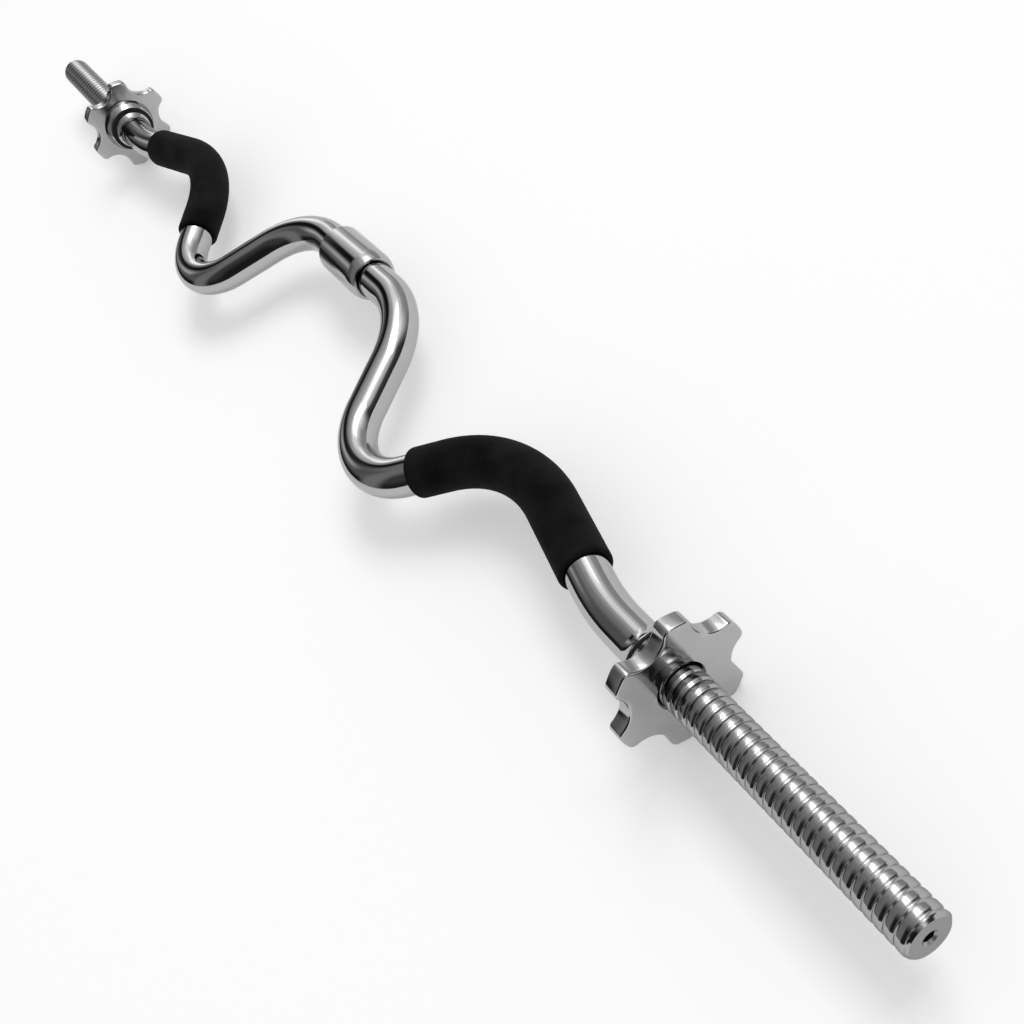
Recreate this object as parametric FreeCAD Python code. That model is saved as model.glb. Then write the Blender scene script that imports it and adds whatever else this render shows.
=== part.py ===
import FreeCAD
import Part
import math
import os

V = FreeCAD.Vector
BAR_AXIS = V(1, 0, 0)
UP = V(0, 0, 1)
PLATE_SIDE = V(0, 1, 0)

# The bar: 25 mm solid steel, two bent halves, overall length from tip to tip
bar_length = 1200.0
bar_diameter = 25.0
slip_fit = 0.05

# Spans between the bend corners of one half, along the bar from the fixed collar to the middle
collar_to_bend_span = 32.0
outer_run_span = 126.0
inner_run_span = 99.0
centre_run_span = 62.0
middle_half_span = 84.0

# Offsets of the bend corners from the axis of the two ends
grip_bend_rise = 30.0
valley_bend_drop = 75.0
centre_bend_rise = 44.5

# Bend radii at the bar's centre line
outer_bend_radius = 140.0
grip_bend_radius = 88.0
valley_bend_radius = 44.5
centre_bend_radius = 62.0

# Screwed end beyond the fixed collar: thread blank, chamfered tip and the lathe's centre hole
loading_length = 186.0
thread_diameter = 24.6
tip_chamfer = 1.6
centre_hole_diameter = 6.0
centre_hole_depth = 11.0
centre_hole_mouth = 8.4
centre_hole_bevel = 1.2

# Fixed collar: a ring with a trumpet flare towards the grip, welded on at the thread's end
collar_diameter = 31.0
collar_length = 11.0
collar_flare_length = 8.5
collar_flare_edge = 0.4
collar_edge_round = 0.8

# Rubber washer between the fixed collar and the star nut
washer_diameter = 35.0
washer_thickness = 2.2
washer_bore_gap = 0.5
washer_edge_round = 0.6

# Star nut: lobed plate with a tapered hub on its inner side
lobe_count = 6
nut_tip_diameter = 76.0
nut_valley_diameter = 57.0
lobe_width = 15.2
lobe_corner_round = 4.0
nut_plate_thickness = 10.0
nut_hub_length = 10.0
nut_hub_root_diameter = 44.0
nut_hub_end_diameter = 38.0
nut_edge_round = 1.2
nut_hub_edge = 0.8
nut_bore_gap = 0.3
nut_bore_bevel = 1.0

# Foam grip: pulled over the bar, from past the outer bend to short of the valley bend
grip_diameter = 30.6
grip_outer_setback = 11.0
grip_inner_setback = 9.0
grip_bore_gap = 0.1
grip_edge_round = 2.2

# Coupling sleeve: a union nut with a domed nose that turns on the right half and draws in the left half
sleeve_diameter = 34.4
sleeve_length = 55.0
sleeve_right_reach = 26.0
sleeve_nose_length = 10.5
sleeve_nose_drop = 2.2
sleeve_wall = 1.5
sleeve_lip_thickness = 6.0
sleeve_lip_gap = 0.8
sleeve_near_round = 1.2
sleeve_far_round = 0.8
sleeve_play = 0.3

# Pieces inside the sleeve: shoulder ring, threaded ferrule and the key that lines up the halves
ferrule_length = 27.0
ferrule_bevel = 0.8
shoulder_bevel = 0.5
key_width = 12.0
key_thickness = 5.0
key_length = 20.0
key_press_gap = 0.02
key_slide_gap = 0.15
key_end_gap = 0.5
key_edge_bevel = 0.6

# One overrun for every cut, and how closely an edge must match to be picked
cut_overrun = 1.0
match_share = 1e-3

# Radii and stations along the bar that several pieces share
bar_radius = bar_diameter / 2
thread_radius = thread_diameter / 2
tip_x = bar_length / 2
collar_face_x = tip_x - loading_length
collar_inner_x = collar_face_x - collar_length
washer_face_x = collar_face_x + washer_thickness
nut_plate_inner_x = washer_face_x + nut_hub_length
nut_plate_outer_x = nut_plate_inner_x + nut_plate_thickness
thread_start_x = nut_plate_outer_x
sleeve_radius = sleeve_diameter / 2
sleeve_bore_radius = sleeve_radius - sleeve_wall
sleeve_left_x = sleeve_right_reach - sleeve_length
sleeve_lip_x = sleeve_right_reach - sleeve_lip_thickness


def bend_route(corners, radii):
    """Split a cornered line into straight runs and tangent bends, outer end first."""
    runs = []
    bends = []
    run_start = corners[0]
    for before, corner, after, radius in zip(corners, corners[1:], corners[2:], radii):
        heading_in = (corner - before).normalize()
        heading_out = (after - corner).normalize()
        turn = heading_in.getAngle(heading_out)
        side = math.copysign(1, heading_in.cross(heading_out).z)
        tangent_length = radius * math.tan(turn / 2)
        start = corner - heading_in * tangent_length
        end = corner + heading_out * tangent_length
        centre = start + UP.cross(heading_in) * (radius * side)
        runs.append((run_start, start))
        bends.append((start, heading_in, centre, math.degrees(turn) * side))
        run_start = end
    runs.append((run_start, corners[-1]))
    return runs, bends


def run_solid(run, radius):
    start, end = run
    along = end - start
    return Part.makeCylinder(radius, along.Length, start, along)


def bend_solid(bend, radius):
    start, heading, centre, turn = bend
    section = Part.Face(Part.Wire(Part.makeCircle(radius, start, heading)))
    return section.revolve(centre, UP, turn)


def bent_rod(runs, bends, radius):
    pieces = [run_solid(run, radius) for run in runs]
    pieces += [bend_solid(bend, radius) for bend in bends]
    return pieces[0].multiFuse(pieces[1:]).removeSplitter()


def turned(profile_edges):
    """Turn a closed profile, drawn in the plane of the bar, about the axis of the two ends."""
    profile = Part.Face(Part.Wire(profile_edges))
    return profile.revolve(V(0, 0, 0), BAR_AXIS, 360)


def polyline(points):
    return [Part.makeLine(a, b) for a, b in zip(points, points[1:])]


def ring(inner_x, outer_x, inner_radius, outer_radius, offset=0):
    """A plain tube along X whose axis lies at the given offset in the bar's plane."""
    start = V(inner_x, offset, 0)
    length = outer_x - inner_x
    outside = Part.makeCylinder(outer_radius, length, start, BAR_AXIS)
    hole_start = start - BAR_AXIS * cut_overrun
    hole = Part.makeCylinder(inner_radius, length + 2 * cut_overrun, hole_start, BAR_AXIS)
    return outside.cut(hole)


def rims_at(shape, x, rim_radius):
    """The round edges of one radius that lie at one station along X."""
    rims = []
    for edge in shape.Edges:
        if isinstance(edge.Curve, Part.Circle):
            misfit = abs(edge.Curve.Center.x - x) + abs(edge.Curve.Radius - rim_radius)
            if misfit < rim_radius * match_share:
                rims.append(edge)
    return rims


# The bends keep their proportions and fill the length between the two fixed collars
bend_spans = [collar_to_bend_span, outer_run_span, inner_run_span, centre_run_span, middle_half_span]
bend_scale = collar_inner_x / sum(bend_spans)
centre_rise = centre_bend_rise * bend_scale
outer_bend_x = collar_inner_x - collar_to_bend_span * bend_scale
grip_bend_x = outer_bend_x - outer_run_span * bend_scale
valley_bend_x = grip_bend_x - inner_run_span * bend_scale
centre_bend_x = valley_bend_x - centre_run_span * bend_scale

# The centre line of one half, from its screwed tip to the meeting face at the middle
half_corners = [
    V(tip_x, 0, 0),
    V(outer_bend_x, 0, 0),
    V(grip_bend_x, grip_bend_rise * bend_scale, 0),
    V(valley_bend_x, -valley_bend_drop * bend_scale, 0),
    V(centre_bend_x, centre_rise, 0),
    V(0, centre_rise, 0),
]
bend_radii = [outer_bend_radius, grip_bend_radius, valley_bend_radius, centre_bend_radius]
half_radii = [radius * bend_scale for radius in bend_radii]
half_runs, half_bends = bend_route(half_corners, half_radii)


def screwed_end():
    """Thread blank with its chamfered tip, countersunk by the lathe's centre."""
    top = thread_radius
    profile = polyline([
        V(thread_start_x, 0, 0),
        V(thread_start_x, top, 0),
        V(tip_x - tip_chamfer, top, 0),
        V(tip_x, top - tip_chamfer, 0),
        V(tip_x, centre_hole_mouth / 2, 0),
        V(tip_x - centre_hole_bevel, centre_hole_diameter / 2, 0),
        V(tip_x - centre_hole_depth, centre_hole_diameter / 2, 0),
        V(tip_x - centre_hole_depth - centre_hole_diameter / 2, 0, 0),
        V(thread_start_x, 0, 0),
    ])
    return turned(profile)


def key_block(length_right, length_left, gap):
    """The key's rectangle about the meeting face, grown by a gap on its four long sides."""
    width = key_width + 2 * gap
    thickness = key_thickness + 2 * gap
    corner = V(-length_left, centre_rise - width / 2, -thickness / 2)
    return Part.makeBox(length_right + length_left, width, thickness, corner)


def bar_half(key_depth, key_gap):
    """One bent half with its screwed end and the key's pocket in its meeting face."""
    runs = [(V(thread_start_x, 0, 0), half_runs[0][1])] + half_runs[1:]
    rod = bent_rod(runs, half_bends, bar_radius)
    pocket = key_block(key_depth, cut_overrun, key_gap)
    return rod.fuse(screwed_end()).removeSplitter().cut(pocket)


def fixed_collar():
    """Ring with a concave flare that runs down to the bar on the grip's side."""
    bore = bar_radius + slip_fit
    top = collar_diameter / 2
    inner_x = collar_inner_x
    band_x = inner_x + collar_flare_length
    flare_rise = top - bore - collar_flare_edge
    flare_radius = (collar_flare_length ** 2 + flare_rise ** 2) / (2 * flare_rise)
    flare_half_angle = math.asin(collar_flare_length / flare_radius) / 2
    flare_middle = V(
        inner_x + flare_radius * math.sin(flare_half_angle),
        bore + collar_flare_edge + flare_radius * (1 - math.cos(flare_half_angle)),
        0,
    )
    flare_start = V(inner_x, bore + collar_flare_edge, 0)
    flare_end = V(band_x, top, 0)
    flare = Part.Arc(flare_start, flare_middle, flare_end).toShape()
    rest = polyline([
        flare_end,
        V(collar_face_x, top, 0),
        V(collar_face_x, bore, 0),
        V(inner_x, bore, 0),
        flare_start,
    ])
    collar = turned([flare] + rest)
    return collar.makeFillet(collar_edge_round, rims_at(collar, collar_face_x, top))


def rubber_washer():
    bore = bar_radius + washer_bore_gap
    top = washer_diameter / 2
    washer = ring(collar_face_x, washer_face_x, bore, top)
    rims = rims_at(washer, collar_face_x, top) + rims_at(washer, washer_face_x, top)
    return washer.makeFillet(washer_edge_round, rims)


# Where the lobes' corners lie on the star nut
half_pitch = math.pi / lobe_count
corner_reach = nut_tip_diameter / 2 - lobe_corner_round
corner_turn = math.asin((lobe_width / 2 - lobe_corner_round) / corner_reach)


def across(x, radius, angle):
    """A point in the plane across the bar at station x."""
    return V(x, radius * math.cos(angle), radius * math.sin(angle))


def lobed_plate():
    """The star's plate: square-ended lobes with round corners, joined by hollows tangent to them."""
    x = nut_plate_inner_x
    valley = nut_valley_diameter / 2
    tip = nut_tip_diameter / 2
    inset = valley - lobe_corner_round
    gap_turn = half_pitch - corner_turn
    hollow_reach = (corner_reach ** 2 - inset ** 2) / (2 * (corner_reach * math.cos(gap_turn) - inset))

    def corner_arc(corner_angle, hollow_angle):
        """A lobe's corner as points: where its hollow ends, its middle and where the tip starts."""
        corner = across(x, corner_reach, corner_angle)
        to_hollow = (across(x, hollow_reach, hollow_angle) - corner).normalize()
        to_tip = across(x, tip, corner_angle) - corner
        to_middle = (to_hollow * lobe_corner_round + to_tip).normalize()
        return corner + to_hollow * lobe_corner_round, corner + to_middle * lobe_corner_round, corner + to_tip

    outline = []
    for lobe in range(lobe_count):
        angle = 2 * half_pitch * lobe
        start, start_middle, tip_start = corner_arc(angle - corner_turn, angle - half_pitch)
        end, end_middle, tip_end = corner_arc(angle + corner_turn, angle + half_pitch)
        after = corner_arc(angle + 2 * half_pitch - corner_turn, angle + half_pitch)[0]
        outline.append(Part.Arc(start, start_middle, tip_start).toShape())
        outline.append(Part.Arc(tip_start, across(x, tip, angle), tip_end).toShape())
        outline.append(Part.Arc(tip_end, end_middle, end).toShape())
        outline.append(Part.Arc(end, across(x, valley, angle + half_pitch), after).toShape())
    plate = Part.Face(Part.Wire(outline)).extrude(BAR_AXIS * nut_plate_thickness)
    rim = [edge for edge in plate.Edges if edge.BoundBox.XLength < nut_edge_round]
    return plate.makeFillet(nut_edge_round, rim)


def star_nut():
    """Lobed plate and tapered hub in one casting, bored for the screwed end."""
    bore = bar_radius + nut_bore_gap
    root = nut_hub_root_diameter / 2
    end = nut_hub_end_diameter / 2
    hub_end_x = washer_face_x
    hub = turned(polyline([
        V(hub_end_x, 0, 0),
        V(hub_end_x, end - nut_hub_edge, 0),
        V(hub_end_x + nut_hub_edge, end, 0),
        V(nut_plate_inner_x, root, 0),
        V(nut_plate_outer_x - nut_edge_round, root, 0),
        V(nut_plate_outer_x - nut_edge_round, 0, 0),
        V(hub_end_x, 0, 0),
    ]))
    drill = turned(polyline([
        V(hub_end_x - cut_overrun, 0, 0),
        V(hub_end_x - cut_overrun, bore, 0),
        V(nut_plate_outer_x - nut_bore_bevel, bore, 0),
        V(nut_plate_outer_x + cut_overrun, bore + nut_bore_bevel + cut_overrun, 0),
        V(nut_plate_outer_x + cut_overrun, 0, 0),
        V(hub_end_x - cut_overrun, 0, 0),
    ]))
    return lobed_plate().fuse(hub).removeSplitter().cut(drill)


def foam_grip():
    """Foam tube over the grip bend, with softly rounded ends."""
    outer_run = half_runs[1]
    inner_run = half_runs[2]
    outer_heading = (outer_run[1] - outer_run[0]).normalize()
    inner_heading = (inner_run[1] - inner_run[0]).normalize()
    outer_end = outer_run[0] + outer_heading * grip_outer_setback
    inner_end = inner_run[1] - inner_heading * grip_inner_setback
    runs = [(outer_end, outer_run[1]), (inner_run[0], inner_end)]
    bends = [half_bends[1]]
    sleeve = bent_rod(runs, bends, grip_diameter / 2)
    ends = [
        edge for edge in sleeve.Edges
        if isinstance(edge.Curve, Part.Circle)
        and min((edge.Curve.Center - point).Length for point in (outer_end, inner_end)) < grip_edge_round
    ]
    sleeve = sleeve.makeFillet(grip_edge_round, ends)
    bore_runs = [
        (outer_end - outer_heading * cut_overrun, outer_run[1]),
        (inner_run[0], inner_end + inner_heading * cut_overrun),
    ]
    return sleeve.cut(bent_rod(bore_runs, bends, bar_radius + grip_bore_gap))


def coupling_sleeve():
    """Union nut: full bore from the left, and a domed lip on the right that bears on the shoulder ring."""
    lip_bore = bar_radius + sleeve_lip_gap
    nose_x = sleeve_right_reach - sleeve_nose_length
    nose_top = sleeve_radius - sleeve_nose_drop
    dome_radius = (sleeve_nose_length ** 2 + sleeve_nose_drop ** 2) / (2 * sleeve_nose_drop)
    half_turn = math.asin(sleeve_nose_length / dome_radius) / 2
    nose_middle = V(
        nose_x + dome_radius * math.sin(half_turn),
        sleeve_radius - dome_radius * (1 - math.cos(half_turn)),
        0,
    )
    nose_start = V(nose_x, sleeve_radius, 0)
    nose_end = V(sleeve_right_reach, nose_top, 0)
    nose = Part.Arc(nose_start, nose_middle, nose_end).toShape()
    rest = polyline([
        nose_end,
        V(sleeve_right_reach, lip_bore, 0),
        V(sleeve_lip_x, lip_bore, 0),
        V(sleeve_lip_x, sleeve_bore_radius, 0),
        V(sleeve_left_x, sleeve_bore_radius, 0),
        V(sleeve_left_x, sleeve_radius, 0),
        nose_start,
    ])
    body = turned([nose] + rest)
    body = body.makeFillet(sleeve_near_round, rims_at(body, sleeve_right_reach, nose_top))
    body = body.makeFillet(sleeve_far_round, rims_at(body, sleeve_left_x, sleeve_radius))
    return body.translated(PLATE_SIDE * centre_rise)


def shoulder_ring():
    """Ring welded round the right half's end, which holds the sleeve on."""
    top = sleeve_bore_radius - sleeve_play
    shoulder = ring(0, sleeve_lip_x, bar_radius + slip_fit, top, centre_rise)
    return shoulder.makeChamfer(shoulder_bevel, rims_at(shoulder, 0, top))


def threaded_ferrule():
    """Screwed ring on the left half's end, which the sleeve draws in."""
    top = sleeve_bore_radius - sleeve_play
    ferrule = ring(-ferrule_length, 0, bar_radius + slip_fit, top, centre_rise)
    return ferrule.makeChamfer(ferrule_bevel, rims_at(ferrule, -ferrule_length, top))


def locating_key():
    """Flat key across the meeting face, pressed into the right half and sliding in the left."""
    key = key_block(key_length / 2, key_length / 2, 0)
    end_edges = [
        edge for edge in key.Edges
        if edge.BoundBox.XMax < -key_length / 2 + key_edge_bevel
    ]
    return key.makeChamfer(key_edge_bevel, end_edges)


# Stand the bar on the lower two lobes of both star nuts, centred over the origin
lobe_reach_down = corner_reach * math.cos(half_pitch - corner_turn) + lobe_corner_round
valley_centre = half_bends[2][2]
lowest_side = valley_centre.y - valley_bend_radius * bend_scale - bar_radius
highest_side = centre_rise + sleeve_radius
to_stand = UP * lobe_reach_down - PLATE_SIDE * ((lowest_side + highest_side) / 2)


def mirrored(shape):
    return shape.mirror(V(0, 0, 0), BAR_AXIS)


right_pieces = {
    "collar": fixed_collar(),
    "washer": rubber_washer(),
    "star_nut": star_nut(),
    "grip": foam_grip(),
}

nodes = {
    "right_bar": bar_half(key_length / 2, key_press_gap),
    "left_bar": mirrored(bar_half(key_length / 2 + key_end_gap, key_slide_gap)),
    "coupling_sleeve": coupling_sleeve(),
    "shoulder_ring": shoulder_ring(),
    "threaded_ferrule": threaded_ferrule(),
    "locating_key": locating_key(),
}
for piece_name, piece in right_pieces.items():
    nodes["right_" + piece_name] = piece
    nodes["left_" + piece_name] = mirrored(piece)

os.makedirs("parts", exist_ok=True)
for node_name, shape in nodes.items():
    shape.translate(to_stand)
    shape.exportStep("parts/" + node_name + ".step")
    print(node_name, shape.isValid(), len(shape.Solids), round(shape.Volume / 1000, 2), "cm3")
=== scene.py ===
import math

import bpy
import numpy as np
from mathutils import Matrix, Vector


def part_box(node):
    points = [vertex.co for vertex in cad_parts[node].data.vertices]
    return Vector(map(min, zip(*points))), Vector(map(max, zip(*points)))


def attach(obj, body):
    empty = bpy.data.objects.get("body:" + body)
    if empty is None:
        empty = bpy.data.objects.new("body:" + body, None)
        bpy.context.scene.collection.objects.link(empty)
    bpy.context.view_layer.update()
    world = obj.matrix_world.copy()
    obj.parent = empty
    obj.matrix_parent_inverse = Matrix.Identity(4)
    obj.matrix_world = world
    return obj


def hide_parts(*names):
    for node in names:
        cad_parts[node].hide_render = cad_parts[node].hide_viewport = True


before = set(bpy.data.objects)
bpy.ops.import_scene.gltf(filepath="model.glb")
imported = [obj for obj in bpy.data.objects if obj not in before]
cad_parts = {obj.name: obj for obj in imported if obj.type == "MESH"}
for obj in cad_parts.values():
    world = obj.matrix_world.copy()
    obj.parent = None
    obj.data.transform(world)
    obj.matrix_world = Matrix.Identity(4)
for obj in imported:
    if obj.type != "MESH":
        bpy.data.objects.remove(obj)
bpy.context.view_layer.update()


# Bar halves: solid 25 mm steel rod, bent cold in one plane, then ground, polished and chromed.
# Each outer end is rolled with a coarse right-hand thread, chamfered, and keeps the lathe's centre hole.
# The plating leaves that hole dull, and its near-black colour is painted shade in the recess. The halves meet
# face to face inside the coupling at the middle.
collar_low, collar_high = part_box("right_collar")
axis_y = (collar_low.y + collar_high.y) / 2
axis_z = (collar_low.z + collar_high.z) / 2
bar_radius = 0.0125
bar_around = 96
middle_rise = 0.0445
bend_corners = [(0.371, 0.0), (0.245, 0.030), (0.146, -0.075), (0.084, middle_rise)]
bend_radii = [0.140, 0.088, 0.0445, 0.062]
run_step = 0.004
bend_step = math.radians(2.0)
thread_start = 0.4176
thread_pitch = 0.0062
thread_crest = 0.0123
thread_depth = 0.0005
groove_share = 0.29
crest_crown = 0.0002
rings_per_pitch = 20
tip_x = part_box("right_bar")[1].x
tip_chamfer = 0.0016
tip_ring_gap = 0.0001
centre_hole_radius = 0.0030
centre_hole_mouth = 0.0042
centre_hole_bevel = 0.0012
centre_hole_depth = 0.011
drill_point_radius = 0.0001
seam_down = np.linspace(0, 2 * math.pi, bar_around, endpoint=False) - math.pi / 2


def bend_stations(corners, radii):
    """Centre-line points and headings in the plane of the bends, with an arc at each inner corner."""
    points, headings = [], []

    def run(start, end):
        count = max(2, int(np.linalg.norm(end - start) / run_step))
        for share in np.linspace(0, 1, count, endpoint=False):
            points.append(start + (end - start) * share)
            headings.append((end - start) / np.linalg.norm(end - start))

    here = np.array(corners[0], float)
    for before, corner, after, radius in zip(corners, corners[1:], corners[2:], radii):
        corner = np.array(corner, float)
        into = (corner - before) / np.linalg.norm(corner - before)
        out = (after - corner) / np.linalg.norm(after - corner)
        turn = math.acos(float(np.clip(into @ out, -1, 1)))
        side = math.copysign(1, into[0] * out[1] - into[1] * out[0])
        start = corner - into * radius * math.tan(turn / 2)
        centre = start + np.array((-into[1], into[0])) * radius * side
        run(here, start)
        for angle in np.linspace(0, turn, int(turn / bend_step) + 2, endpoint=False):
            c, s = math.cos(angle * side), math.sin(angle * side)
            spin = np.array(((c, -s), (s, c)))
            points.append(centre + spin @ (start - centre))
            headings.append(spin @ into)
        here = corner + out * radius * math.tan(turn / 2)
    run(here, np.array(corners[-1], float))
    points.append(np.array(corners[-1], float))
    headings.append(headings[-1])
    return np.array(points), np.array(headings)


def rings_along(points, headings, radii, angles):
    """Round sections square to the centre line: an array of rings of points in the part's frame."""
    side = np.stack((-headings[:, 1], headings[:, 0]), axis=1)
    across = np.cos(angles)[None, :, None] * np.append(side, np.zeros((len(side), 1)), 1)[:, None, :]
    across = across + np.sin(angles)[None, :, None] * np.array((0, 0, 1))
    centre = np.append(points, np.zeros((len(points), 1)), 1)
    radii = np.broadcast_to(np.asarray(radii, float).reshape(len(points), -1), across.shape[:2])
    return centre[:, None, :] + across * radii[:, :, None] + np.array((0, axis_y, axis_z))


def into_scene(name, data):
    """A new object for a mesh, a lamp or a camera, linked into the scene."""
    made = bpy.data.objects.new(name, data)
    bpy.context.scene.collection.objects.link(made)
    return made


def skin(name, rings, flip=False, ring_loop=False, sharp=math.radians(38)):
    """A closed mesh over rings of points, with a UV map in metres: round the piece, and along it."""
    rings = np.asarray(rings, float)
    count, around = rings.shape[:2]
    last = count if ring_loop else count - 1
    length = np.linalg.norm(np.diff(rings, axis=0, append=rings[:1]), axis=2).mean(1)
    along = np.concatenate(((0,), np.cumsum(length)))
    girth = np.linalg.norm(np.diff(rings, axis=1, append=rings[:, :1]), axis=2).sum(1).max()
    faces, uvs = [], []
    for i in range(last):
        below, above = i * around, ((i + 1) % count) * around
        for j in range(around):
            k = (j + 1) % around
            face = [below + j, below + k, above + k, above + j]
            u0, u1 = girth * j / around, girth * (j + 1) / around
            uv = [(u0, along[i]), (u1, along[i]), (u1, along[i + 1]), (u0, along[i + 1])]
            faces.append(face[::-1] if flip else face)
            uvs += uv[::-1] if flip else uv
    if not ring_loop:
        for face in (list(range(around))[::-1], list(range((count - 1) * around, count * around))):
            faces.append(face[::-1] if flip else face)
            uvs += [(0.0, 0.0)] * around
    mesh = bpy.data.meshes.new(name)
    mesh.from_pydata(rings.reshape(-1, 3).tolist(), [], faces)
    mesh.uv_layers.new(name="around_along").data.foreach_set("uv", np.array(uvs, np.float32).ravel())
    mesh.shade_smooth()
    mesh.set_sharp_from_angle(angle=sharp)
    return into_scene(name, mesh)


def feed(tree, value, socket):
    """A socket's value: a link from another socket, or a plain number or colour."""
    if isinstance(value, bpy.types.NodeSocket):
        tree.links.new(value, socket)
    else:
        socket.default_value = value


def reckon(tree, operation, first, second):
    """A sum, a product or the like of two values."""
    node = tree.nodes.new("ShaderNodeMath")
    node.operation = operation
    feed(tree, first, node.inputs[0])
    feed(tree, second, node.inputs[1])
    return node.outputs[0]


def remap(tree, value, start, end, low=0.0, high=1.0, ease="LINEAR"):
    """A value spread from one range to another and held inside it."""
    node = tree.nodes.new("ShaderNodeMapRange")
    node.interpolation_type = ease
    limits = {"From Min": start, "From Max": end, "To Min": low, "To Max": high}
    for label, limit in limits.items():
        node.inputs[label].default_value = limit
    tree.links.new(value, node.inputs["Value"])
    return node.outputs["Result"]


def mixed(tree, factor, first, second):
    """One colour that turns into another with the factor."""
    node = tree.nodes.new("ShaderNodeMix")
    node.data_type = "RGBA"
    tree.links.new(factor, node.inputs["Factor"])
    feed(tree, first, node.inputs["A"])
    feed(tree, second, node.inputs["B"])
    return node.outputs["Result"]


def noise(tree, place, scale, detail, roughness=0.5):
    """Soft random lumps, so many to the metre."""
    node = tree.nodes.new("ShaderNodeTexNoise")
    feed(tree, scale, node.inputs["Scale"])
    node.inputs["Detail"].default_value = detail
    node.inputs["Roughness"].default_value = roughness
    tree.links.new(place, node.inputs["Vector"])
    return node.outputs["Fac"]


def cells(tree, place, scale):
    """Distance from the middle of random round cells, so many to the metre."""
    node = tree.nodes.new("ShaderNodeTexVoronoi")
    feed(tree, scale, node.inputs["Scale"])
    tree.links.new(place, node.inputs["Vector"])
    return node.outputs["Distance"]


def streaks(tree, place, scales, detail):
    """Lumps drawn out into lines by a scale of their own along each axis."""
    stretch = tree.nodes.new("ShaderNodeMapping")
    stretch.inputs["Scale"].default_value = scales
    tree.links.new(place, stretch.inputs["Vector"])
    return noise(tree, stretch.outputs["Vector"], 1, detail)


def effect(name, values, colours):
    """An empty node group for a shared effect, with its inputs and the outputs that a finish takes."""
    tree = bpy.data.node_groups.new(name, "ShaderNodeTree")
    for label in values:
        tree.interface.new_socket(label, in_out="INPUT", socket_type="NodeSocketFloat")
    for label in colours:
        tree.interface.new_socket(label, in_out="INPUT", socket_type="NodeSocketColor")
    tree.interface.new_socket("Colour", in_out="OUTPUT", socket_type="NodeSocketColor")
    for label in ("Roughness", "Height"):
        tree.interface.new_socket(label, in_out="OUTPUT", socket_type="NodeSocketFloat")
    given = tree.nodes.new("NodeGroupInput")
    result = tree.nodes.new("NodeGroupOutput")
    place = tree.nodes.new("ShaderNodeTexCoord")
    return tree, given.outputs, result.inputs, place.outputs["Object"]


def plating_effect():
    """Shared by every plated finish: faint handling haze, hairlines along the piece and pinhead flecks."""
    tree, given, result, place = effect("plating_marks", ("Haze", "Hairlines", "Polish"), ("Bright", "Dull"))
    clouds = noise(tree, place, 38, 5, roughness=0.6)
    dulled = reckon(tree, "MULTIPLY", remap(tree, clouds, 0.46, 0.72), given["Haze"])
    scored = reckon(tree, "MULTIPLY", streaks(tree, place, (2600, 2600, 30), 2), given["Hairlines"])
    flecks = reckon(tree, "MULTIPLY", remap(tree, cells(tree, place, 520), 0.10, 0.04), 0.25)
    colour = mixed(tree, reckon(tree, "ADD", dulled, flecks), given["Bright"], given["Dull"])
    haze_rough = reckon(tree, "MULTIPLY", dulled, 0.14)
    score_rough = reckon(tree, "MULTIPLY", scored, 0.05)
    rough = reckon(tree, "ADD", given["Polish"], reckon(tree, "ADD", haze_rough, score_rough))
    height = reckon(tree, "ADD", reckon(tree, "MULTIPLY", clouds, 0.6), scored)
    for label, value in (("Colour", colour), ("Roughness", rough), ("Height", height)):
        tree.links.new(value, result[label])
    return tree


plating_marks = plating_effect()


def fresh_material(name):
    """A new material, with its node tree and its shader."""
    material = bpy.data.materials.new(name)
    material.use_nodes = True
    return material, material.node_tree, material.node_tree.nodes["Principled BSDF"]


def emboss(tree, shader, height, relief):
    """Bumps on a shader's surface, with the relief in metres."""
    bump = tree.nodes.new("ShaderNodeBump")
    bump.inputs["Strength"].default_value = 1.0
    bump.inputs["Distance"].default_value = relief
    tree.links.new(height, bump.inputs["Height"])
    tree.links.new(bump.outputs["Normal"], shader.inputs["Normal"])


def finish_with(tree, shader, group, relief, given):
    """A shared effect placed in a material with the material's own values."""
    placed = tree.nodes.new("ShaderNodeGroup")
    placed.node_tree = group
    for label, value in given.items():
        placed.inputs[label].default_value = value
    tree.links.new(placed.outputs["Colour"], shader.inputs["Base Color"])
    tree.links.new(placed.outputs["Roughness"], shader.inputs["Roughness"])
    emboss(tree, shader, placed.outputs["Height"], relief)


def plated(name, bright, dull, edge, polish, haze, hairlines, relief):
    """Chrome plate with its own polish, haze and relief, and its own brightness at a glancing angle."""
    material, tree, metal = fresh_material(name)
    metal.inputs["Metallic"].default_value = 1.0
    metal.inputs["Specular Tint"].default_value = (edge, edge, edge, 1)
    given = {"Haze": haze, "Hairlines": hairlines, "Polish": polish, "Bright": bright, "Dull": dull}
    finish_with(tree, metal, plating_marks, relief, given)
    return material


bar_chrome = plated(
    "bar_chrome", (0.45, 0.45, 0.455, 1), (0.37, 0.37, 0.37, 1),
    edge=0.8, polish=0.05, haze=0.35, hairlines=0.3, relief=2e-5,
)
thread_chrome = plated(
    "thread_chrome", (0.40, 0.40, 0.405, 1), (0.32, 0.32, 0.32, 1),
    edge=0.5, polish=0.10, haze=0.5, hairlines=0.4, relief=3e-5,
)
tip_faced = plated(
    "tip_faced", (0.38, 0.38, 0.385, 1), (0.30, 0.30, 0.30, 1),
    edge=0.5, polish=0.34, haze=0.4, hairlines=0.6, relief=4e-5,
)
# The hole's near-black colour is painted shade for the deep recess; its roughness is the dull finish the
# plating leaves there.
hole_dull_painted_shade = plated(
    "hole_dull_painted_shade", (0.035, 0.034, 0.033, 1), (0.02, 0.02, 0.02, 1),
    edge=0.4, polish=0.45, haze=0.5, hairlines=0.5, relief=6e-5,
)


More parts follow.
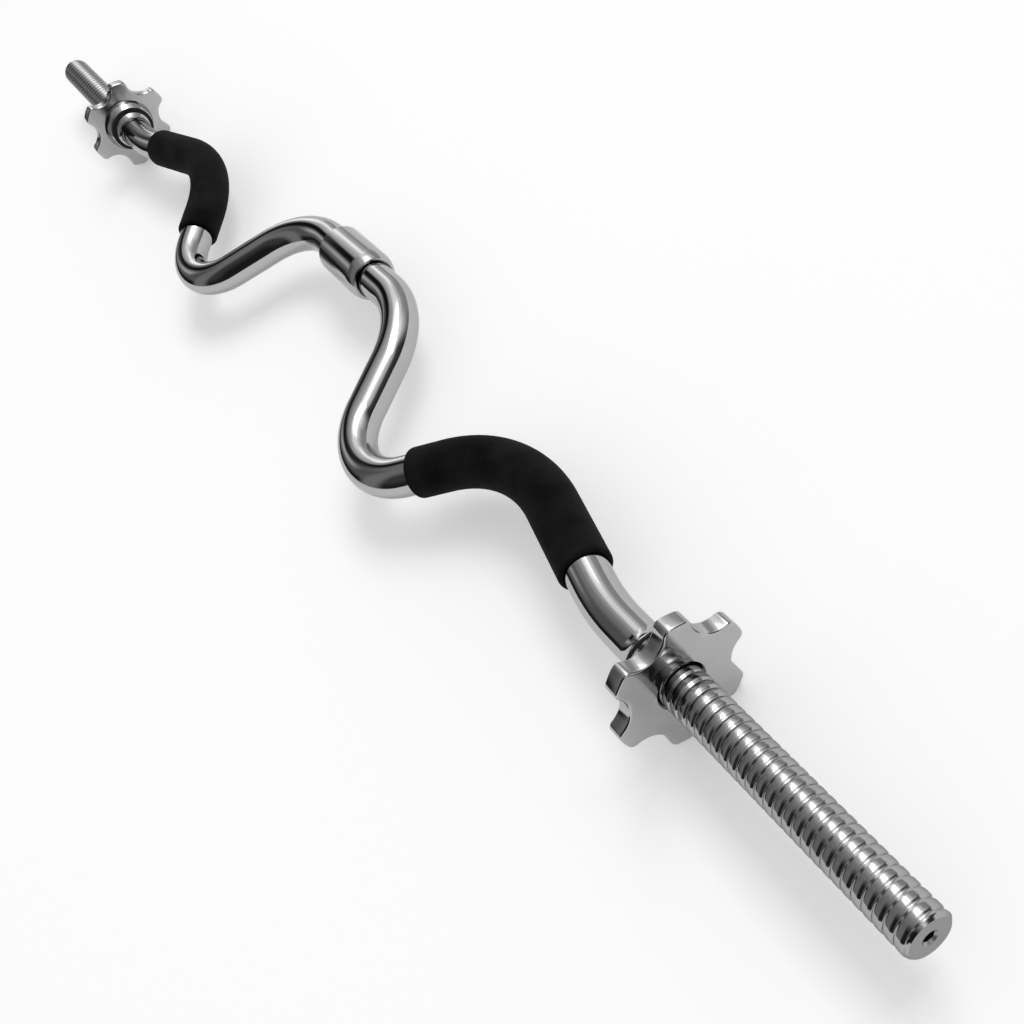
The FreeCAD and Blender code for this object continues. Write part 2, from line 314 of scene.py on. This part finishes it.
def thread_radius(x, angles, hand):
    """Crowned crests with one shallow round-bottomed groove per pitch, from under the nut to the tip."""
    turned_by = (angles[None, :] + math.pi / 2) / (2 * math.pi)
    turns = (x[:, None] - thread_start) / thread_pitch - (turned_by if hand > 0 else 1 - turned_by)
    from_groove = np.abs(turns % 1.0 - 0.5)
    groove = np.where(from_groove < groove_share, 0.5 + 0.5 * np.cos(math.pi * from_groove / groove_share), 0)
    crown = np.clip(1 - 2 * from_groove, 0, 1) ** 2
    cut = (thread_depth * groove + crest_crown * crown) * (turns > 0)
    cone = np.maximum(tip_x - x[:, None], 0) + thread_crest - tip_chamfer
    return np.minimum(thread_crest - cut, cone)


def straight_rings(stations, radii, angles, rise=0.0):
    """Round sections along a straight stretch of the bar, at stations measured from its middle."""
    stations = np.asarray(stations, float)
    places = np.stack((stations, np.full_like(stations, rise)), 1)
    return rings_along(places, np.tile((1.0, 0.0), (len(stations), 1)), radii, angles)


def bar_half(name, direction):
    """One half from its meeting face out to the tip, built on the +X side and mirrored for the left."""
    corners = [(0.0, middle_rise)] + bend_corners[::-1] + [(thread_start, 0.0)]
    points, headings = bend_stations(corners, bend_radii[::-1])
    rod = rings_along(points, headings, np.full(len(points), bar_radius), seam_down)
    x = np.arange(thread_start, tip_x, thread_pitch / rings_per_pitch)
    x = np.append(x[x < tip_x - tip_ring_gap], tip_x)
    screwed = straight_rings(x, thread_radius(x, seam_down, direction), seam_down)
    hole_end = tip_x - centre_hole_depth
    hole_stations = [tip_x, tip_x - centre_hole_bevel, hole_end, hole_end - centre_hole_radius]
    hole_radii = [centre_hole_mouth, centre_hole_radius, centre_hole_radius, drill_point_radius]
    drilled = straight_rings(hole_stations, hole_radii, seam_down)
    rings = np.concatenate((rod, screwed, drilled)) * np.array((direction, 1, 1))
    made = skin(name, rings, flip=direction < 0)
    for finish in (bar_chrome, thread_chrome, tip_faced, hole_dull_painted_shade):
        made.data.materials.append(finish)
    # The faces run in rings from the rod over the thread and the tip's face into the hole.
    tip_ring = len(rod) + len(screwed) - 1
    for face in made.data.polygons:
        ring = face.index // bar_around
        face.material_index = (ring >= len(rod)) + (ring >= tip_ring) + (ring > tip_ring + 1)
    meeting_face = (len(rings) - 1) * bar_around
    made.data.polygons[meeting_face].material_index = 0
    return made


for side, direction in (("right", 1), ("left", -1)):
    half = bar_half(side + "_bar_skin", direction)
    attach(half, side + "_half")
    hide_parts(side + "_bar")


# Fixed collars: turned steel rings with a trumpet flare, pressed on where the loading length starts.
# They are welded and then plated with the bar.
# So the weld shows only as the smooth flare that runs down to the rod.
collar_face = collar_high.x
collar_radius = 0.0155
collar_band = 0.0025
collar_flare = 0.0085
collar_edge = 0.0008
collar_gap = 0.00003
collar_bore = bar_radius + collar_gap
flare_edge = 0.0003
flare_steps = 14
least_corner_turn = 0.02
turned_around = 128
turn_angles = np.linspace(0, 2 * math.pi, turned_around, endpoint=False) - math.pi / 2


def soften(corners, rounds, steps=7):
    """A closed outline with each corner rounded by its own radius."""
    corners = [np.array(c, float) for c in corners]
    outline = []
    for i, (corner, radius) in enumerate(zip(corners, rounds)):
        before, after = corners[i - 1], corners[(i + 1) % len(corners)]
        into = (corner - before) / np.linalg.norm(corner - before)
        out = (after - corner) / np.linalg.norm(after - corner)
        turn = math.acos(float(np.clip(into @ out, -1, 1)))
        if radius <= 0 or turn < least_corner_turn:
            outline.append(corner)
            continue
        side = math.copysign(1, into[0] * out[1] - into[1] * out[0])
        start = corner - into * radius * math.tan(turn / 2)
        centre = start + np.array((-into[1], into[0])) * radius * side
        for angle in np.linspace(0, turn * side, steps):
            c, s = math.cos(angle), math.sin(angle)
            outline.append(centre + np.array(((c, -s), (s, c))) @ (start - centre))
    return np.array(outline)


def turned(name, outline, direction, rise=0.0):
    """A turned ring: the closed outline of station and radius goes once round the bar's line."""
    rings = straight_rings(outline[:, 0], outline[:, 1], turn_angles, rise) * np.array((direction, 1, 1))
    return skin(name, rings, flip=direction < 0, ring_loop=True)


def collar_outline():
    """The flare's arc from the rod up to the band, then the band, its face and the bore."""
    flare_start = collar_face - collar_band - collar_flare
    foot = collar_bore + flare_edge
    flare_rise = collar_radius - foot
    sweep = (collar_flare ** 2 + flare_rise ** 2) / (2 * flare_rise)
    turn = np.linspace(0, math.asin(collar_flare / sweep), flare_steps)
    flare = np.stack((flare_start + sweep * np.sin(turn), foot + sweep * (1 - np.cos(turn))), 1)
    band_corners = [
        (collar_face - collar_band, collar_radius),
        (collar_face, collar_radius),
        (collar_face, collar_bore),
        (flare_start, collar_bore),
    ]
    band = soften(band_corners, [0, collar_edge, 0, 0])
    return np.concatenate((flare, band[1:]))


for side, direction in (("right", 1), ("left", -1)):
    collar = turned(side + "_collar_ring", collar_outline(), direction)
    collar.data.materials.append(bar_chrome)
    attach(collar, side + "_half")
    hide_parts(side + "_collar")


# Rubber washers: black moulded rings that keep the star nut from working loose.
# Each rides in front of its nut and is squeezed against the fixed collar, so its rim bulges a little.
washer_inner = 0.0130
washer_outer = 0.0187
washer_thick = 0.0022
washer_gap = 0.00004
washer_bore_round = 0.0003
washer_rim_round = 0.0009


def grain_effect():
    """Shared by rubber and foam: fine cells, paler rubbed patches and an uneven dullness."""
    tree, given, result, place = effect("cell_grain", ("Grain",), ("Shade", "Worn"))
    fine = noise(tree, place, reckon(tree, "MULTIPLY", given["Grain"], 1.7), 4)
    rubbed = noise(tree, place, 42, 5)
    colour = mixed(tree, remap(tree, rubbed, 0.35, 0.75), given["Shade"], given["Worn"])
    rough = remap(tree, fine, 0, 1, low=0.72, high=0.95)
    pores = reckon(tree, "ADD", cells(tree, place, given["Grain"]), fine)
    for label, value in (("Colour", colour), ("Roughness", rough), ("Height", pores)):
        tree.links.new(value, result[label])
    return tree


cell_grain = grain_effect()


def soft_black(name, shade, worn, grain, relief, sheen, gloss):
    """Matt black rubber or foam with a dusty sheen."""
    material, tree, matt = fresh_material(name)
    matt.inputs["Sheen Weight"].default_value = sheen
    matt.inputs["Sheen Roughness"].default_value = 0.5
    matt.inputs["Specular IOR Level"].default_value = gloss
    finish_with(tree, matt, cell_grain, relief, {"Grain": grain, "Shade": shade, "Worn": worn})
    return material


washer_rubber = soft_black(
    "washer_rubber", (0.010, 0.010, 0.010, 1), (0.018, 0.018, 0.018, 1),
    grain=1400, relief=6e-5, sheen=0.03, gloss=0.3,
)
washer_front = collar_face + washer_gap
washer_back = collar_face + washer_thick - washer_gap
washer_outline = soften(
    [
        (washer_front, washer_inner),
        (washer_front, washer_outer),
        (washer_back, washer_outer),
        (washer_back, washer_inner),
    ],
    [washer_bore_round, washer_rim_round, washer_rim_round, washer_bore_round],
)[::-1]
for side, direction in (("right", 1), ("left", -1)):
    washer = turned(side + "_washer_ring", washer_outline, direction)
    washer.data.materials.append(washer_rubber)
    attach(washer, side + "_washer_ring")
    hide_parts(side + "_washer")


# Star nuts: six-lobed castings, fettled, polished and chromed, with a tapered hub on the washer's side.
# The bore runs just clear of the bar's thread, and both its mouths are bevelled.
nut_inner = collar_face + washer_thick
nut_hub = 0.010
nut_plate = 0.010
nut_tip = 0.038
nut_valley = 0.0285
lobe_width = 0.0152
lobe_corner = 0.004
lobe_count = 6
corner_steps = 10
tip_steps = 6
hollow_steps = 20
nut_edge = 0.0012
nut_edge_steps = 7
nut_bore = 0.0128
nut_bore_bevel = 0.0010
front_face_shares = (0.05, 0.3, 0.6, 0.9)
back_face_shares = (0.1, 0.5, 0.9, 1.0)
hub_root = 0.0220
hub_root_step = 0.0003
hub_root_draw = 0.00012
hub_end = 0.0190
hub_edge = 0.0008
hub_bore_bevel = 0.0004


def star_rim(inset):
    """The lobed outline drawn in by an inset: the lobes shrink as the hollows between them grow."""
    half_pitch = math.pi / lobe_count
    reach = nut_tip - lobe_corner
    corner_turn = math.asin((lobe_width / 2 - lobe_corner) / reach)
    gap_turn = half_pitch - corner_turn
    drop = nut_valley - lobe_corner
    hollow_reach = (reach ** 2 - drop ** 2) / (2 * (reach * math.cos(gap_turn) - drop))
    hollow_radius = hollow_reach - nut_valley
    lean = math.atan2(hollow_reach * math.sin(gap_turn), hollow_reach * math.cos(gap_turn) - reach)
    rim = []

    def arc(centre_reach, centre_turn, radius, start, end, steps):
        centre = centre_reach * np.array((math.cos(centre_turn), math.sin(centre_turn)))
        for angle in np.linspace(start, end, steps, endpoint=False):
            rim.append(centre + radius * np.array((math.cos(angle), math.sin(angle))))

    for lobe in range(lobe_count):
        at = 2 * half_pitch * lobe
        low, high = at - corner_turn, at + corner_turn
        arc(reach, low, lobe_corner - inset, low - lean, low, corner_steps)
        arc(0, 0, nut_tip - inset, low, high, tip_steps)
        arc(reach, high, lobe_corner - inset, high, high + lean, corner_steps)
        hollow_start = high + lean + math.pi
        hollow_stop = at + 2 * half_pitch - corner_turn - lean + math.pi
        arc(hollow_reach, at + half_pitch, hollow_radius + inset, hollow_start, hollow_stop, hollow_steps)
    return np.array(rim)


def round_at_rim(radius):
    """A circle with its points on the same rays as the lobed outline."""
    rim = star_rim(0)
    return rim / np.linalg.norm(rim, axis=1)[:, None] * radius


def star_nut(name, direction):
    """Sections from the bore out over the front face, round the lobed rim and back over the hub."""
    front, back = nut_inner + nut_hub + nut_plate, nut_inner + nut_hub
    mouth, root = round_at_rim(nut_bore + nut_bore_bevel), round_at_rim(hub_root)
    face_edge = star_rim(nut_edge)
    quarter = np.linspace(0, math.pi / 2, nut_edge_steps)
    sections = [(front - nut_bore_bevel, round_at_rim(nut_bore)), (front, mouth)]
    sections += [(front, mouth + (face_edge - mouth) * share) for share in front_face_shares]
    for turn in quarter:
        sections.append((front - nut_edge * (1 - math.cos(turn)), star_rim(nut_edge * (1 - math.sin(turn)))))
    for turn in quarter:
        sections.append((back + nut_edge * (1 - math.sin(turn)), star_rim(nut_edge * (1 - math.cos(turn)))))
    sections += [(back, face_edge + (root - face_edge) * share) for share in back_face_shares]
    sections += [
        (back - hub_root_step, round_at_rim(hub_root - hub_root_draw)),
        (nut_inner + hub_edge, round_at_rim(hub_end)),
        (nut_inner, round_at_rim(hub_end - hub_edge)),
        (nut_inner, round_at_rim(nut_bore + hub_bore_bevel)),
        (nut_inner + hub_bore_bevel, round_at_rim(nut_bore)),
    ]
    rings = []
    for at, rim in sections:
        ring = np.stack((np.full(len(rim), at * direction), axis_y + rim[:, 0], axis_z + rim[:, 1]), 1)
        rings.append(ring)
    return skin(name, rings, flip=direction > 0, ring_loop=True, sharp=math.radians(32))


nut_chrome = plated(
    "nut_chrome", (0.46, 0.46, 0.465, 1), (0.36, 0.36, 0.36, 1),
    edge=0.7, polish=0.09, haze=0.6, hairlines=0.2, relief=9e-5,
)
for side, direction in (("right", 1), ("left", -1)):
    nut = star_nut(side + "_star_casting", direction)
    nut.data.materials.append(nut_chrome)
    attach(nut, side + "_nut")
    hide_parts(side + "_star_nut")


# Foam grips: closed-cell foam tubes, blown over the bar with air, square-cut and softly rounded at both ends.
# They cover the outer bend's inner run, the grip bend and the leg down to the valley.
# They hold by their own squeeze on the bar.
grip_radius = 0.0153
grip_gap = 0.00008
grip_bore = bar_radius + grip_gap
grip_from = 0.011
grip_short = 0.009
grip_edge = 0.0022
grip_edge_steps = 6
grip_lip = 0.0003
grip_around = 112
grip_angles = np.linspace(0, 2 * math.pi, grip_around, endpoint=False) - math.pi / 2


def grip_line():
    """The stretch of the bar's centre line that the foam covers, from the collar's side inwards."""
    corners = [(tip_x, 0.0)] + bend_corners + [(0.0, middle_rise)]
    vectors = [np.array(c, float) for c in corners]

    def leg(i):
        step = vectors[i + 1] - vectors[i]
        return step / np.linalg.norm(step)

    def reach(i):
        turn = math.acos(float(np.clip(leg(i - 1) @ leg(i), -1, 1)))
        return bend_radii[i - 1] * math.tan(turn / 2)

    start = vectors[1] + leg(1) * (reach(1) + grip_from)
    end = vectors[3] - leg(2) * (reach(3) + grip_short)
    return bend_stations([start, vectors[2], end], [bend_radii[1]])


def foam_grip(name, direction):
    """Bore's lip, rounded end, outside, rounded end, lip and bore again, as one closed run of rings."""
    points, headings = grip_line()
    steps = np.linalg.norm(np.diff(points, axis=0), axis=1)
    along = np.concatenate(((0,), np.cumsum(steps)))
    keep = (along > grip_edge) & (along < along[-1] - grip_edge)
    covered, covered_headings = points[keep], headings[keep]
    first, last = headings[0], headings[-1]
    quarter = np.linspace(0, math.pi / 2, grip_edge_steps)
    inset = grip_edge * (1 - np.sin(quarter))
    edge_radius = grip_radius - grip_edge * (1 - np.cos(quarter))
    line = [(points[0] + first * grip_lip, first, grip_bore), (points[0], first, grip_bore + grip_lip)]
    line += [(points[0] + first * by, first, r) for by, r in zip(inset[::-1], edge_radius[::-1])]
    line += [(p, h, grip_radius) for p, h in zip(covered, covered_headings)]
    line += [(points[-1] - last * by, last, r) for by, r in zip(inset, edge_radius)]
    line += [(points[-1], last, grip_bore + grip_lip), (points[-1] - last * grip_lip, last, grip_bore)]
    line += [(p, h, grip_bore) for p, h in zip(covered[::-1], covered_headings[::-1])]
    centre = np.array([p for p, _, _ in line])
    heading = np.array([h for _, h, _ in line])
    radius = [r for _, _, r in line]
    rings = rings_along(centre, heading, radius, grip_angles) * np.array((direction, 1, 1))
    return skin(name, rings, flip=direction > 0, ring_loop=True, sharp=math.radians(50))


grip_foam = soft_black(
    "grip_foam", (0.0004, 0.0004, 0.0004, 1), (0.0090, 0.0090, 0.0090, 1),
    grain=900, relief=2.6e-4, sheen=0.008, gloss=0.10,
)
for side, direction in (("right", 1), ("left", -1)):
    grip = foam_grip(side + "_foam_grip", direction)
    grip.data.materials.append(grip_foam)
    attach(grip, side + "_half")
    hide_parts(side + "_grip")


# Coupling: a round chromed union nut that turns on the right half and screws on to the left half's ferrule.
# Its right end is a domed nose over a lip, with a dark running gap round the bar.
# Its left end is cut square, with only the edge broken.
sleeve_low, sleeve_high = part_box("coupling_sleeve")
sleeve_left, sleeve_right = sleeve_low.x, sleeve_high.x
sleeve_radius = 0.0172
sleeve_bore = 0.0157
sleeve_lip = 0.006
sleeve_lip_gap = 0.0008
sleeve_lip_bore = bar_radius + sleeve_lip_gap
sleeve_bore_edge = 0.0004
sleeve_left_edge = 0.0008
sleeve_nose_edge = 0.0006
sleeve_inner_edge = 0.0002
sleeve_edge_steps = 9
nose_length = 0.0105
nose_drop = 0.0022
nose_steps = 16


def sleeve_outline():
    """Square left end, straight outside, domed nose, lip and plain bore, with every edge broken."""
    sweep = (nose_length ** 2 + nose_drop ** 2) / (2 * nose_drop)
    turn = np.linspace(0, math.asin(nose_length / sweep), nose_steps)[1:-1]
    nose_start, lip_back = sleeve_right - nose_length, sleeve_right - sleeve_lip
    nose = np.stack((nose_start + sweep * np.sin(turn), sleeve_radius - sweep * (1 - np.cos(turn))), 1)
    corners = [(sleeve_left, sleeve_bore), (sleeve_left, sleeve_radius), (nose_start, sleeve_radius), *nose]
    rounds = [sleeve_bore_edge, sleeve_left_edge, 0] + [0] * len(nose)
    corners += [(sleeve_right, sleeve_radius - nose_drop), (sleeve_right, sleeve_lip_bore)]
    rounds += [sleeve_nose_edge, sleeve_bore_edge]
    corners += [(lip_back, sleeve_lip_bore), (lip_back, sleeve_bore)]
    rounds += [sleeve_inner_edge, sleeve_inner_edge]
    return soften(corners, rounds, steps=sleeve_edge_steps)[::-1]


sleeve_chrome = plated(
    "sleeve_chrome", (0.45, 0.45, 0.455, 1), (0.37, 0.37, 0.37, 1),
    edge=0.8, polish=0.06, haze=0.4, hairlines=0.5, relief=3e-5,
)
sleeve = turned("coupling_union_nut", sleeve_outline(), 1, middle_rise)
sleeve.data.materials.append(sleeve_chrome)
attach(sleeve, "union")
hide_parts("coupling_sleeve")


# Inside the coupling: shoulder ring and key on the right half, screwed ferrule on the left half.
# They are bare machined steel, oiled.
# Only the ferrule's thread comes into sight, as the coupling is undone.
ferrule_length = 0.027
ferrule_crest = 0.0154
ferrule_pitch = 0.002
ferrule_depth = 0.0007
ferrule_bevel = 0.0008
ferrule_gap = 0.00005
ferrule_bore = bar_radius + ferrule_gap
ferrule_rings_per_pitch = 14
ferrule_groove_power = 1.2


def machined_steel(name):
    """Bare turned steel: tool lines round the axis and a thin film of oil."""
    material, tree, metal = fresh_material(name)
    metal.inputs["Metallic"].default_value = 1.0
    place = tree.nodes.new("ShaderNodeTexCoord").outputs["Object"]
    tool_lines = streaks(tree, place, (4200, 60, 60), 3)
    oil = noise(tree, place, 160, 4)
    colour = mixed(tree, oil, (0.36, 0.36, 0.36, 1), (0.24, 0.235, 0.23, 1))
    tree.links.new(colour, metal.inputs["Base Color"])
    tree.links.new(remap(tree, tool_lines, 0, 1, low=0.22, high=0.42), metal.inputs["Roughness"])
    emboss(tree, metal, tool_lines, 2e-5)
    return material


inner_steel = machined_steel("inner_steel")
for node in ("shoulder_ring", "locating_key"):
    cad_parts[node].data.materials.clear()
    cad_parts[node].data.materials.append(inner_steel)


def ferrule_rings():
    """Bore and threaded outside of the ferrule as one closed run of rings, on the left half's end."""
    x = np.linspace(-ferrule_length, 0, int(ferrule_length / ferrule_pitch * ferrule_rings_per_pitch))
    phase = (x[:, None] / ferrule_pitch - turn_angles[None, :] / (2 * math.pi)) % 1.0
    groove = np.clip(1 - np.abs(phase - 0.5) / 0.5, 0, 1) ** ferrule_groove_power
    bevel = np.minimum(x + ferrule_length, -x)[:, None] + ferrule_crest - ferrule_bevel
    outside = np.minimum(ferrule_crest - ferrule_depth * groove, bevel)
    bore = np.full((1, turned_around), ferrule_bore)
    stations = np.concatenate(((-ferrule_length,), x, (0.0,)))
    return straight_rings(stations, np.concatenate((bore, outside, bore)), turn_angles, middle_rise)


ferrule = skin("screwed_ferrule", ferrule_rings(), ring_loop=True)
ferrule.data.materials.append(inner_steel)
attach(ferrule, "left_half")
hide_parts("threaded_ferrule")


# Floor: a wide matt sheet of pale card that the star nuts stand on.
# It shows as white and keeps the bar's soft shadow.
floor_half = 40.0
floor_lift = 0.24


def seen_by_eye(tree):
    """One for what the camera sees, straight, mirrored or through glass, and zero for other light."""
    rays = tree.nodes.new("ShaderNodeLightPath").outputs
    straight = reckon(tree, "MAXIMUM", rays["Is Camera Ray"], rays["Is Transmission Ray"])
    return reckon(tree, "MAXIMUM", straight, rays["Is Glossy Ray"])


def pale_card():
    """Matt card that looks a little lighter than the light it throws back on the bar."""
    material, tree, default_shader = fresh_material("pale_card")
    tree.nodes.remove(default_shader)
    matt = tree.nodes.new("ShaderNodeBsdfDiffuse")
    matt.inputs["Color"].default_value = (0.86, 0.86, 0.86, 1)
    lift = tree.nodes.new("ShaderNodeEmission")
    lift.inputs["Color"].default_value = (1, 1, 1, 1)
    tree.links.new(reckon(tree, "MULTIPLY", seen_by_eye(tree), floor_lift), lift.inputs["Strength"])
    both = tree.nodes.new("ShaderNodeAddShader")
    tree.links.new(matt.outputs[0], both.inputs[0])
    tree.links.new(lift.outputs[0], both.inputs[1])
    tree.links.new(both.outputs[0], tree.nodes["Material Output"].inputs["Surface"])
    return material


floor_mesh = bpy.data.meshes.new("studio_floor")
floor_corners = [(x * floor_half, y * floor_half, 0) for x, y in ((-1, -1), (1, -1), (1, 1), (-1, 1))]
floor_mesh.from_pydata(floor_corners, [], [(0, 1, 2, 3)])
floor_mesh.materials.append(pale_card())
floor = into_scene("studio_floor", floor_mesh)


# Studio walls: a half globe round the set that glows and that only the plating mirrors, so the dim room the
# chrome shows is a painted reflection.
# Its glow paints a bright band of reflection over the arch's side of the bar and dark ones over the top and
# the grips' side.
# Each wall is a list of glow strengths, as greys by degrees, from the arch's side over the top to the grips'
# side.
wall_reach = 12.0
wall_rows, wall_columns = 24, 64
camera_walls = [
    (0, 0.03), (28, 0.08), (44, 0.9), (57, 1.5), (74, 0.5), (95, 0.34), (112, 0.13), (128, 0.02), (180, 0.02),
]
side_walls = [
    (0, 0.20), (10, 0.36), (24, 0.8), (36, 1.4), (50, 2.1), (62, 1.8),
    (80, 0.55), (100, 0.30), (122, 0.07), (150, 0.07), (168, 0.03), (180, 0.02),
]
tip_walls = [
    (0, 0.50), (10, 0.42), (22, 0.5), (38, 1.15), (46, 2.3), (57, 2.5),
    (72, 0.7), (96, 0.35), (118, 0.27), (150, 0.29), (180, 0.28),
]
near_walls = [
    (0, 0.56), (10, 0.45), (22, 0.47), (38, 0.95), (46, 1.35), (57, 1.35),
    (72, 0.57), (90, 0.34), (122, 0.15), (152, 0.15), (166, 0.02), (180, 0.01),
]
middle_walls = [
    (0, 0.40), (6, 0.46), (20, 0.70), (30, 0.8), (37, 1.75), (46, 1.85), (53, 1.0),
    (74, 0.64), (88, 0.01), (106, 0.012), (128, 0.68), (142, 0.22), (166, 0.02), (180, 0.012),
]
far_walls = [
    (0, 0.70), (18, 1.1), (36, 1.6), (48, 2.1), (57, 1.75), (76, 0.4),
    (96, 0.15), (116, 0.10), (134, 0.46), (150, 0.2), (168, 0.02), (180, 0.01),
]
wall_start_shares = [
    (0.45, 0.05, side_walls),
    (-0.05, -0.30, tip_walls),
    (-0.44, -0.60, near_walls),
    (-0.66, -0.80, middle_walls),
    (-0.87, -0.93, far_walls),
]


def room_shell():
    """Half a globe of flat faces over the set."""
    points, faces = [], []
    for row in range(wall_rows + 1):
        rise = math.pi / 2 * row / wall_rows
        flat = wall_reach * math.cos(rise)
        for column in range(wall_columns):
            turn = 2 * math.pi * column / wall_columns
            points.append((flat * math.cos(turn), flat * math.sin(turn), wall_reach * math.sin(rise)))
    for row in range(wall_rows):
        for column in range(wall_columns):
            a, b = row * wall_columns + column, row * wall_columns + (column + 1) % wall_columns
            faces.append((a, b, b + wall_columns, a + wall_columns))
    mesh = bpy.data.meshes.new("studio_walls")
    mesh.from_pydata(points, [], faces)
    return mesh


def glowing_room_reflection():
    """The walls' glow as painted reflection, each wall taking over from the one before it on the way to the
    far end.
    """
    material, tree, default_shader = fresh_material("glowing_room_reflection")
    tree.nodes.remove(default_shader)
    place = tree.nodes.new("ShaderNodeTexCoord").outputs["Object"]
    split = tree.nodes.new("ShaderNodeSeparateXYZ")
    tree.links.new(place, split.inputs[0])
    swing = reckon(tree, "ARCTAN2", split.outputs["Z"], split.outputs["Y"])
    half_turn_share = reckon(tree, "DIVIDE", swing, math.pi)

    def wall_greys(stops):
        ramp = tree.nodes.new("ShaderNodeValToRGB")
        ramp.color_ramp.interpolation = "EASE"
        while len(ramp.color_ramp.elements) < len(stops):
            ramp.color_ramp.elements.new(0.5)
        for element, (degrees, grey) in zip(ramp.color_ramp.elements, stops):
            element.position = degrees / 180
            element.color = (grey, grey, grey, 1)
        tree.links.new(half_turn_share, ramp.inputs[0])
        return ramp.outputs["Color"]

    room = wall_greys(camera_walls)
    for start, end, stops in wall_start_shares:
        toward = remap(tree, split.outputs["X"], start * wall_reach, end * wall_reach, ease="SMOOTHSTEP")
        room = mixed(tree, toward, room, wall_greys(stops))
    # The walls glow but light nothing; the plating alone sees them, as a painted reflection.
    glow = tree.nodes.new("ShaderNodeEmission")
    tree.links.new(room, glow.inputs["Color"])
    tree.links.new(glow.outputs[0], tree.nodes["Material Output"].inputs["Surface"])
    return material


wall_mesh = room_shell()
wall_mesh.materials.append(glowing_room_reflection())
walls = into_scene("studio_walls", wall_mesh)
walls.visible_camera = False
walls.visible_diffuse = False
walls.visible_transmission = False
walls.visible_shadow = False
walls.visible_volume_scatter = False


# Studio light: one broad soft panel, high behind the middle arch.
# An even white surround lights the rest, and the camera sees it as the backdrop.
surround_light = 0.62
surround_seen = 1.0
key = bpy.data.lights.new("soft_key", "AREA")
key.shape = "RECTANGLE"
key.size, key.size_y = 2.7, 2.4
key.energy = 80
key_object = into_scene("soft_key", key)
key_object.location = (-0.15, 2.0, 3.2)
key_object.rotation_euler = (math.radians(-90), 0, 0)
key_object.visible_camera = False
world = bpy.data.worlds.new("studio_surround")
bpy.context.scene.world = world
world.use_nodes = True
surround = world.node_tree.nodes["Background"]
surround.inputs["Color"].default_value = (1, 1, 1, 1)
level = remap(world.node_tree, seen_by_eye(world.node_tree), 0, 1, low=surround_light, high=surround_seen)
world.node_tree.links.new(level, surround.inputs["Strength"])


# Camera: stands where the photograph was taken from, above the near end, and looks down at the bar's axis.
# It is rolled so that the bar runs from the upper left to the lower right.
camera_place = Vector((0.82740, axis_y + 0.02596, axis_z + 0.53654))
camera_aim = Vector((0.27504, axis_y + 0.00051, axis_z))
camera_roll = math.radians(-48.379)
camera = bpy.data.cameras.new("photo_camera")
camera.lens = 49.832
camera.sensor_width = 36.0
camera.clip_start, camera.clip_end = 0.01, 200.0
camera_object = into_scene("photo_camera", camera)
level_turn = (camera_aim - camera_place).to_track_quat("-Z", "Y").to_matrix()
rolled_turn = level_turn @ Matrix.Rotation(camera_roll, 3, "Z")
camera_object.matrix_world = Matrix.LocRotScale(camera_place, rolled_turn, None)
bpy.context.scene.camera = camera_object
bpy.context.scene.view_settings.view_transform = "Standard"
